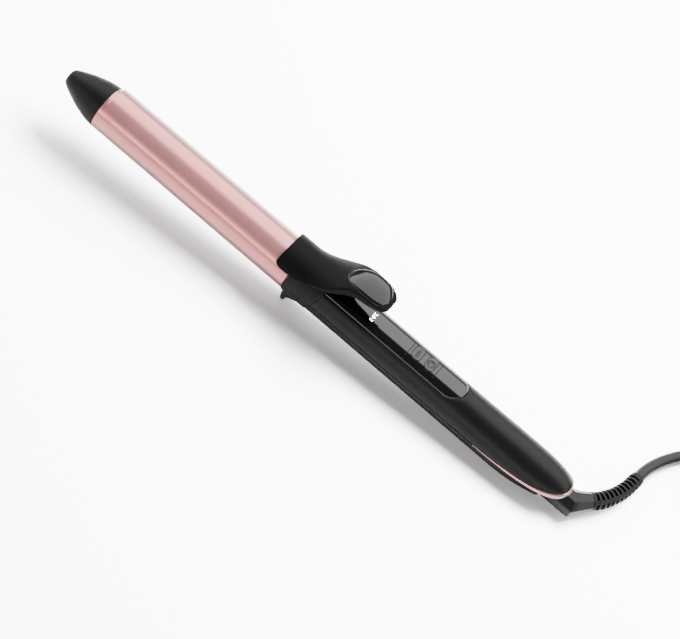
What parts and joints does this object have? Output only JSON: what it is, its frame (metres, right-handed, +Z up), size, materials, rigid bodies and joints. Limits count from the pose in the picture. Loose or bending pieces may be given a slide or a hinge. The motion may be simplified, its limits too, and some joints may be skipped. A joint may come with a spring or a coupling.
{
  "type": "curling iron",
  "caption": "Hair curling iron with a heated barrel, spring clamp and lever, control handle with two buttons, swivel cord, and a coiled cord with a plug.",
  "frame": {"origin": "centre of the bottom of the bounding box of the iron with its swivel and strain relief, without the cord, as it rests on its foot and handle", "axes": "+X along the barrel from the tip to the cord end, +Z up with the lever and control panel on top, +Y toward the side the cord leaves on"},
  "size_m": [0.4754, 0.1474, 0.0525],
  "materials": {
    "cool_tip": "black heat-resistant plastic, fine satin texture",
    "rose_metal": "satin rose-gold coated aluminium",
    "ceramic": "pale heat-resistant ceramic-filled insulator",
    "plain_aluminium": "extruded aluminium, mill finish",
    "slate_plastic": "dark slate-grey moulded plastic",
    "black_plastic": "black moulded plastic, fine matt spark texture",
    "gloss_black": "high-gloss black plastic",
    "rose_trim": "rose-gold plated trim, satin",
    "board": "green solder-masked circuit board",
    "component": "moulded electronic component body",
    "steel": "bright steel",
    "contact_brass": "brass contact metal",
    "nylon": "natural nylon bearing",
    "wire": "silicone wire insulation",
    "swivel_plastic": "black plastic, half-gloss",
    "soft_black": "black flexible moulding",
    "cord_rubber": "dark grey satin cord sheath"
  },
  "bodies": {
    "iron": {"tip_cap": "cool_tip", "barrel_tube": "rose_metal", "barrel_mount": "ceramic", "spreader_upper": "plain_aluminium", "spreader_lower": "plain_aluminium", "heater_plate": "ceramic", "temperature_sensor": "component", "collar": "slate_plastic", "handle_top_shell": "black_plastic", "handle_bottom_shell": "black_plastic", "trim_band": "rose_trim", "control_panel": "gloss_black", "display_module": "component", "circuit_board": "board", "heat_switch": "component", "power_switch": "component", "power_module": "component", "capacitor": "component", "thermal_fuse": "ceramic", "board_screw_front": "steel", "board_screw_rear": "steel", "shell_screw_front": "steel", "shell_screw_rear": "steel", "heater_lead_live": "wire", "heater_lead_neutral": "wire", "supply_lead_live": "wire", "supply_lead_neutral": "wire", "swivel_bush": "nylon", "brush_live": "contact_brass", "brush_neutral": "contact_brass", "hinge_pin": "steel", "clamp_spring": "steel", "cord_run": "cord_rubber", "cord_coil": "cord_rubber", "cord_tail": "cord_rubber", "plug_body": "soft_black", "plug_pin_left": "steel", "plug_pin_right": "steel"},
    "clamp": {"clamp_plate": "rose_metal", "lever": "black_plastic", "thumb_pad": "gloss_black", "clamp_rivet_near": "steel", "clamp_rivet_far": "steel"},
    "heat_button": {"heat_button": "gloss_black"},
    "power_button": {"power_button": "gloss_black"},
    "swivel": {"swivel_head": "swivel_plastic", "strain_relief": "soft_black", "slip_ring_live": "contact_brass", "slip_ring_neutral": "contact_brass", "swivel_clip": "steel"}
  },
  "joints": [
    {"name": "clamp_hinge", "type": "hinge", "parent": "iron", "child": "clamp", "pos_m": [-0.01486, -0.01386, 0.02982], "axis": [0, 1, 0], "range_deg": [0, 15], "stiffness_Nm_per_rad": 0.4, "springref_deg": -8.59, "deforming": ["clamp_spring"]},
    {"name": "heat_press", "type": "slide", "parent": "iron", "child": "heat_button", "axis": [-0.0785, 0, -0.9969], "range_m": [0, 0.0006], "stiffness_N_per_m": 600, "springref_m": -0.0006},
    {"name": "power_press", "type": "slide", "parent": "iron", "child": "power_button", "axis": [-0.0785, 0, -0.9969], "range_m": [0, 0.0006], "stiffness_N_per_m": 600, "springref_m": -0.0006},
    {"name": "cord_swivel", "type": "hinge", "parent": "iron", "child": "swivel", "pos_m": [0.12611, -0.01386, 0.01111], "axis": [0.9969, 0, -0.0785], "continuous": true}
  ]
}
